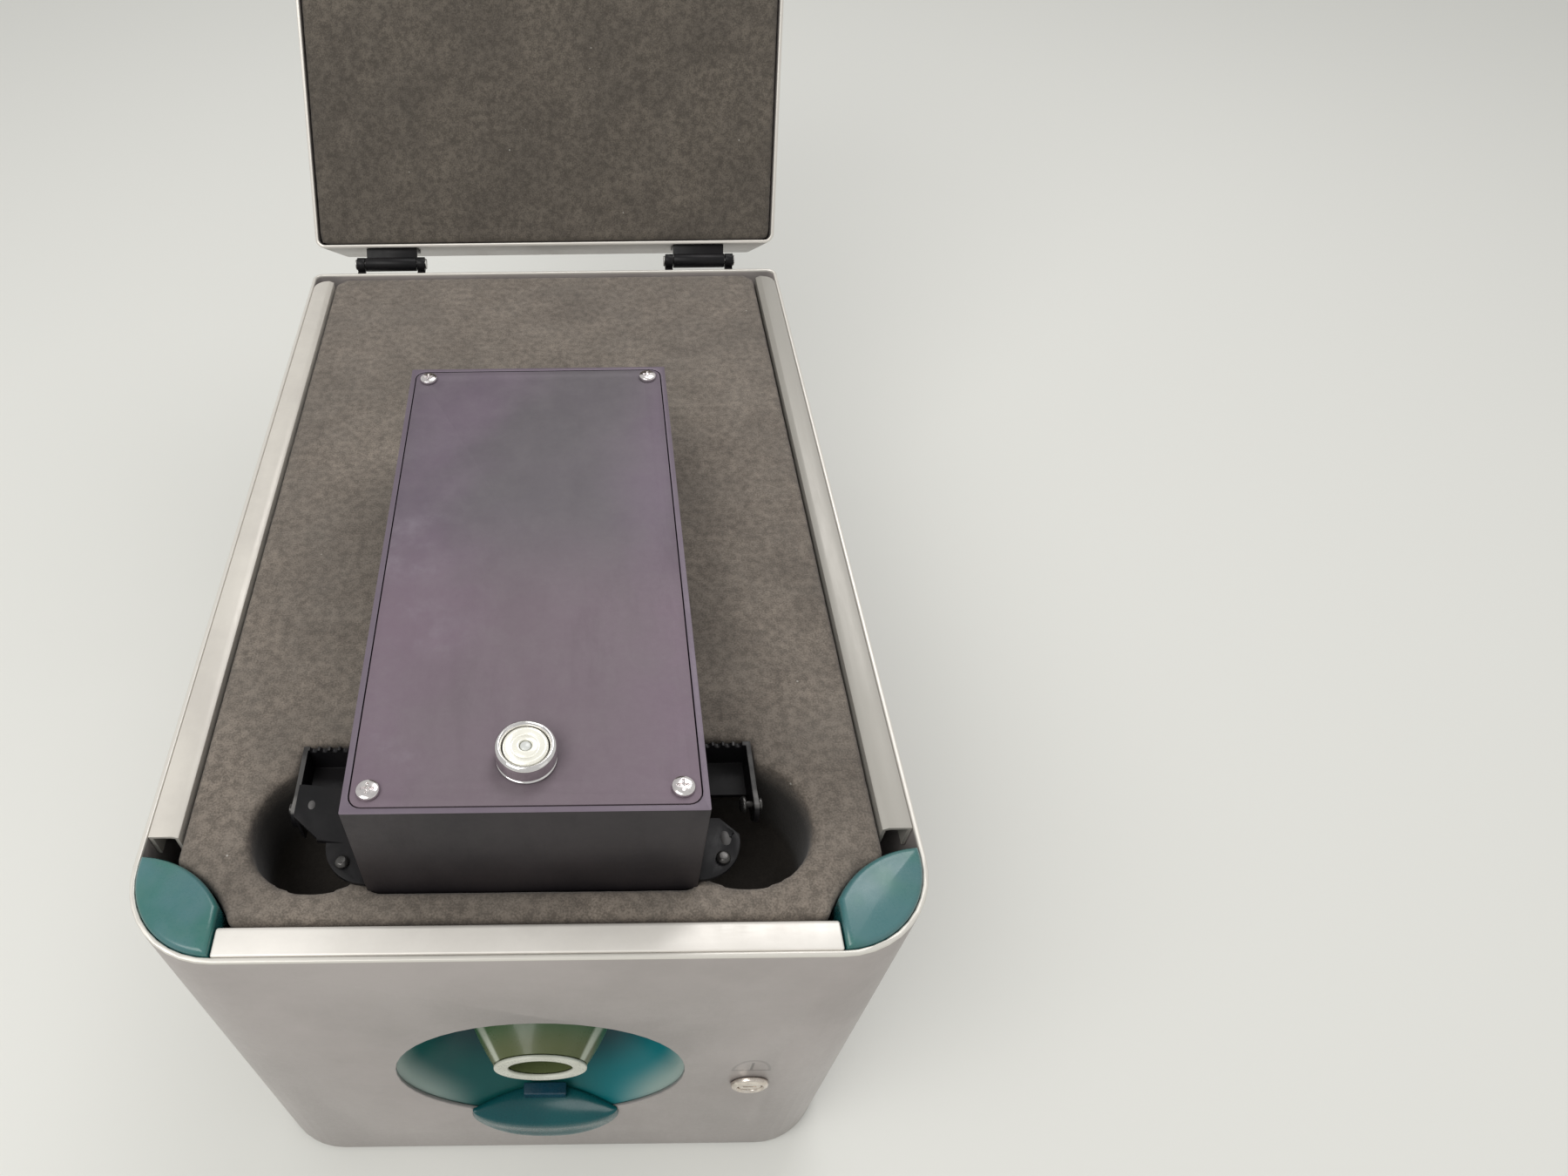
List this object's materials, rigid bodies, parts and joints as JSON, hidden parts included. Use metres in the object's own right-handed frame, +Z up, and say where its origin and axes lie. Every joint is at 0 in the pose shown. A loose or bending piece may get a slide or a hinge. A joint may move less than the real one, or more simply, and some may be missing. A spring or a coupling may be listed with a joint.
{
  "type": "spectrophotometer",
  "caption": "Portable spectrophotometer: a metal instrument box with a push button, side arms and internal optics, held in foam in a lockable hinged case with a round front grip.",
  "frame": {"origin": "centre of the rubber base mat's underside, where the case stands", "axes": "+X to the case's right seen from its front, +Y from the grip and lock to the lid's hinges, +Z up. The rest pose has the lid open by 123 degrees"},
  "size_m": [0.3, 0.8009, 0.6519],
  "materials": {
    "grey_sheet": "satin",
    "rail_metal": "satin",
    "teal": "gloss",
    "deep_teal": "gloss",
    "olive": "gloss",
    "cream": "satin",
    "foam": "matte",
    "anodised": "satin",
    "black": "satin",
    "chrome": "polished",
    "steel": "satin",
    "rubber": "matte",
    "board": "satin",
    "glass": "gloss"
  },
  "bodies": {
    "case": {"case_shell": "grey_sheet", "base_panel": "steel", "base_mat": "rubber", "shelf_panel": "steel", "shelf_ledge_left": "steel", "shelf_ledge_right": "steel", "side_rail_left": "rail_metal", "side_rail_right": "rail_metal", "front_rail": "rail_metal", "corner_cap_left": "teal", "corner_cap_right": "teal", "foam_insert": "foam", "grip_dish": "teal", "grip_hub": "olive", "grip_ring": "cream", "grip_pad": "teal", "grip_stop": "deep_teal", "hinge_leaf_case_left": "black", "hinge_leaf_case_right": "black", "hinge_pin_left": "steel", "hinge_pin_right": "steel", "lock_body": "chrome", "lock_nut": "steel", "housing": "anodised", "cover_plate": "anodised", "cover_screw_front_left": "chrome", "cover_screw_front_right": "chrome", "cover_screw_rear_left": "chrome", "cover_screw_rear_right": "chrome", "button_body": "chrome", "button_nut": "steel", "optical_bench": "black", "light_source": "steel", "entrance_slit": "black", "collimating_mirror": "chrome", "focusing_mirror": "chrome", "grating": "glass", "detector_board": "board", "main_board": "board", "battery": "rubber", "fibre_port": "chrome", "charging_socket": "black", "ear_left": "black", "ear_right": "black", "ear_bolt_left": "steel", "ear_bolt_right": "steel", "pivot_bolt_left": "steel", "pivot_bolt_right": "steel"},
    "button": {"button_cap": "chrome", "button_window": "glass"},
    "arm_left": {"side_arm_left": "black"},
    "arm_right": {"side_arm_right": "black"},
    "lid": {"lid_shell": "grey_sheet", "lid_foam": "foam", "hinge_leaf_lid_left": "black", "hinge_leaf_lid_right": "black", "lid_keeper": "steel"},
    "lock": {"lock_core": "chrome", "lock_cam": "steel"},
    "latch": {"latch_bar": "steel"}
  },
  "joints": [
    {"name": "lid_hinge", "type": "hinge", "parent": "case", "child": "lid", "pos_m": [0, 0.2415, 0.256], "axis": [1, 0, 0], "range_deg": [0, 123]},
    {"name": "button_press", "type": "slide", "parent": "case", "child": "button", "axis": [0, 0, -1], "range_m": [0, 0.0015], "stiffness_N_per_m": 500, "springref_m": -0.002},
    {"name": "lock_turn", "type": "hinge", "parent": "case", "child": "lock", "pos_m": [0.0963, -0.231, 0.1105], "axis": [0, 1, 0], "range_deg": [0, 90]},
    {"name": "latch_slide", "type": "slide", "parent": "case", "child": "latch", "axis": [1, 0, 0], "range_m": [0, 0.0113]},
    {"name": "arm_left_lift", "type": "hinge", "parent": "case", "child": "arm_left", "pos_m": [-0.0916, -0.167, 0.252], "axis": [1, 0, 0], "range_deg": [0, 60]},
    {"name": "arm_right_lift", "type": "hinge", "parent": "case", "child": "arm_right", "pos_m": [0.0873, -0.167, 0.252], "axis": [1, 0, 0], "range_deg": [0, 60]}
  ],
  "couplings": [
    {"joint": "lock_turn", "follows": "latch_slide", "rad_per_m": 138.84}
  ]
}
